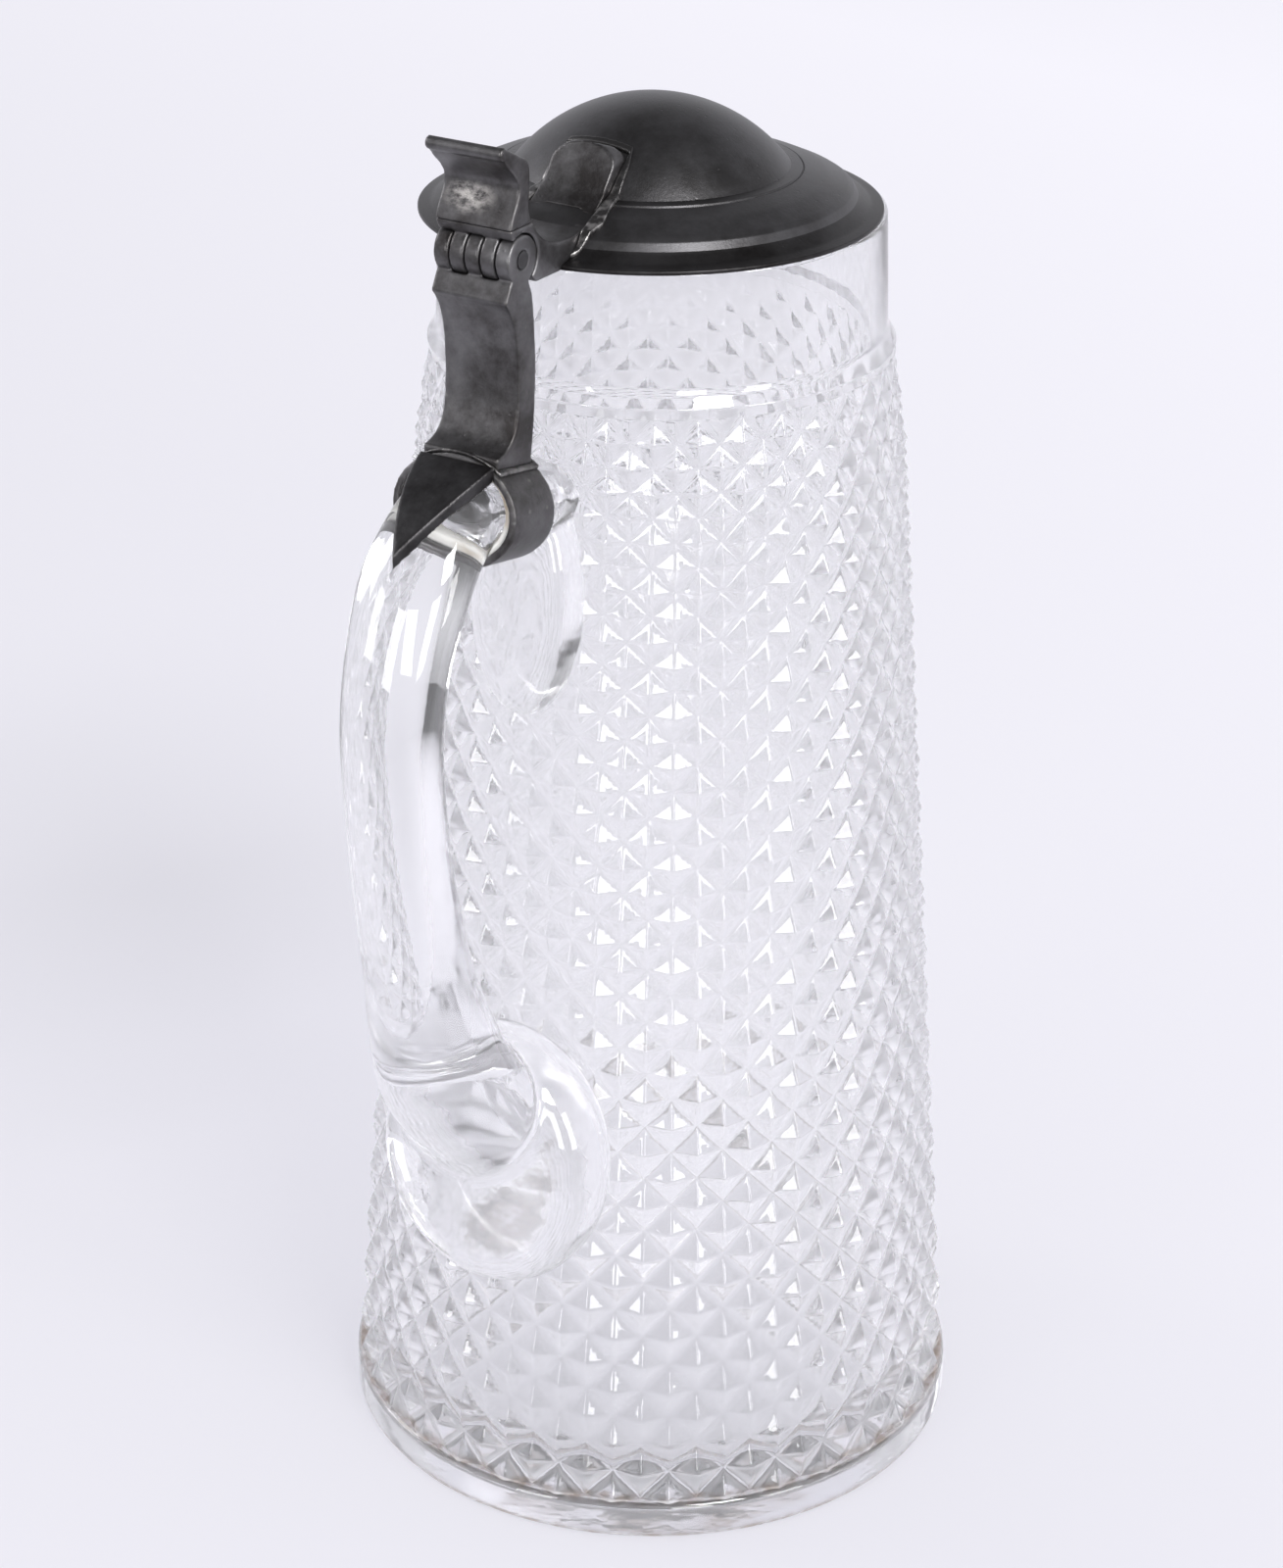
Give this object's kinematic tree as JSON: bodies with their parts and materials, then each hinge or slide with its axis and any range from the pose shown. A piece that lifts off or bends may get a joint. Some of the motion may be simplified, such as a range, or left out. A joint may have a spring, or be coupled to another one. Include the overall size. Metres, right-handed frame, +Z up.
{
  "type": "lidded tankard",
  "caption": "Tall clear glass tankard with a pyramid-cut body, an applied glass handle and a hinged domed pewter lid.",
  "frame": {"origin": "centre of the base, on the surface it stands on", "axes": "+Z up the vessel's axis, +X towards the handle, +Y along the lid's hinge pin"},
  "size_m": [0.1734, 0.1364, 0.308],
  "materials": {
    "clear_glass": "polished",
    "pewter": "satin, tarnished",
    "solder": "bright, lumpy",
    "plaster": "matt"
  },
  "bodies": {
    "vessel": {"glass_body": "clear_glass", "glass_handle": "clear_glass", "handle_collar": "pewter", "collar_packing": "plaster", "collar_leaf": "pewter", "hinge_strap": "pewter", "strap_solder": "solder", "hinge_pin": "pewter"},
    "lid": {"lid_lever": "pewter", "lever_solder": "solder", "thumb_lift": "pewter", "lid_shell": "pewter"}
  },
  "joints": [
    {"name": "lid_hinge", "type": "hinge", "parent": "vessel", "child": "lid", "pos_m": [0.0636, 0, 0.2854], "axis": [0, 1, 0], "range_deg": [0, 95]}
  ]
}
